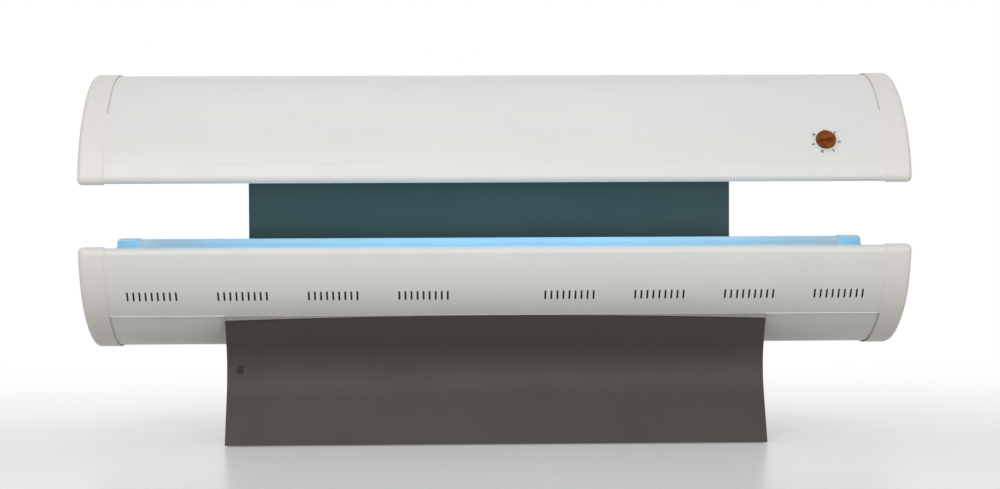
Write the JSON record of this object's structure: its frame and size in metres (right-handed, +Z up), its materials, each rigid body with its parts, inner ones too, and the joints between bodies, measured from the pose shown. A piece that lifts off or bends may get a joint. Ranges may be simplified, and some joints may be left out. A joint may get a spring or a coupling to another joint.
{
  "type": "clamshell tanning bed",
  "caption": "Closed clamshell tanning bed: curved lamp bed on a waisted base, hinged lamp canopy on a rear column, timer knob on the canopy.",
  "frame": {"origin": "on the floor, under the middle of the bounding box", "axes": "+X along the bed to the right seen from the front, -Y towards the front, +Z up"},
  "size_m": [2, 0.8413, 0.9115],
  "materials": {
    "shell_white": "satin white paint",
    "cap_cream": "satin cream moulding",
    "base_grey": "satin grey-brown paint",
    "acrylic_clear": "clear polished acrylic",
    "lamp_glass": "phosphor-coated glass, lit blue",
    "reflector_metal": "polished aluminium",
    "plated_steel": "zinc-plated sheet",
    "frame_black": "black powder coat",
    "bright_steel": "bright turned steel",
    "black_plastic": "matt black moulding",
    "bush_bronze": "oiled bronze",
    "buffer_rubber": "soft black rubber",
    "knob_brown": "glossy brown moulding",
    "bezel_white": "glossy white moulding"
  },
  "bodies": {
    "frame": {"floor_rails": "frame_black", "cross_tubes": "frame_black", "glide_pads": "black_plastic", "saddle_plates": "frame_black", "base_front_panel": "base_grey", "base_side_panels": "base_grey", "base_plug": "black_plastic", "column_uprights": "frame_black", "column_brackets": "plated_steel", "column_front_panel": "base_grey", "column_rear_panel": "base_grey", "column_screws": "bright_steel", "cable_gland": "black_plastic", "hinge_brackets": "frame_black", "hinge_pins": "bright_steel", "hinge_stops": "buffer_rubber", "spring_brackets": "plated_steel", "spring_barrels": "frame_black", "bed_rear_fascia": "shell_white", "bed_front_fascia": "shell_white", "bed_end_cap_right": "cap_cream", "bed_end_cap_left": "cap_cream", "bed_bulkheads": "plated_steel", "bed_acrylic": "acrylic_clear", "bed_lip_rails": "reflector_metal", "bed_reflector": "reflector_metal", "bed_lamp_tubes": "lamp_glass", "bed_lamp_ends": "reflector_metal", "bed_lampholders": "black_plastic", "bed_ballasts": "plated_steel", "bed_gear_tray": "plated_steel", "bed_underside_panel": "shell_white", "bed_ribs": "plated_steel", "fan_frames": "black_plastic"},
    "canopy": {"canopy_rear_fascia": "shell_white", "canopy_front_fascia": "shell_white", "canopy_end_cap_right": "cap_cream", "canopy_end_cap_left": "cap_cream", "canopy_bulkheads": "plated_steel", "canopy_acrylic": "acrylic_clear", "canopy_lip_rails": "reflector_metal", "canopy_reflector": "reflector_metal", "canopy_lamp_tubes": "lamp_glass", "canopy_lamp_ends": "reflector_metal", "canopy_lampholders": "black_plastic", "canopy_ballasts": "plated_steel", "canopy_gear_tray": "plated_steel", "canopy_top_panel": "shell_white", "hinge_arms": "frame_black", "hinge_bushes": "bush_bronze", "spring_studs": "bright_steel", "timer_body": "black_plastic", "timer_bezel": "bezel_white"},
    "timer_dial": {"timer_knob": "knob_brown", "timer_shaft": "bright_steel"},
    "fan_left": {"fan_rotor_left": "black_plastic"},
    "fan_right": {"fan_rotor_right": "black_plastic"},
    "gas_rod_left": {"spring_rod_left": "bright_steel"},
    "gas_rod_right": {"spring_rod_right": "bright_steel"}
  },
  "joints": [
    {"name": "canopy_hinge", "type": "hinge", "parent": "frame", "child": "canopy", "pos_m": [0, 0.39275, 0.73], "axis": [-1, 0, 0], "range_deg": [0, 45]},
    {"name": "timer_turn", "type": "hinge", "parent": "canopy", "child": "timer_dial", "pos_m": [0.796, -0.38614, 0.7377], "axis": [0, 0.8611, -0.5085], "range_deg": [0, 308]},
    {"name": "fan_left_spin", "type": "hinge", "parent": "frame", "child": "fan_left", "pos_m": [-0.32, -0.06925, 0.26], "axis": [0, 0, 1], "continuous": true},
    {"name": "fan_right_spin", "type": "hinge", "parent": "frame", "child": "fan_right", "pos_m": [0.32, -0.06925, 0.26], "axis": [0, 0, 1], "continuous": true},
    {"name": "gas_rod_left_slide", "type": "slide", "parent": "frame", "child": "gas_rod_left", "axis": [0, 0, 1], "range_m": [0, 0.0353]},
    {"name": "gas_rod_right_slide", "type": "slide", "parent": "frame", "child": "gas_rod_right", "axis": [0, 0, 1], "range_m": [0, 0.0353]}
  ],
  "couplings": [
    {"joint": "gas_rod_left_slide", "follows": "canopy_hinge", "m_per_rad": 0.044827},
    {"joint": "gas_rod_right_slide", "follows": "canopy_hinge", "m_per_rad": 0.044827}
  ]
}
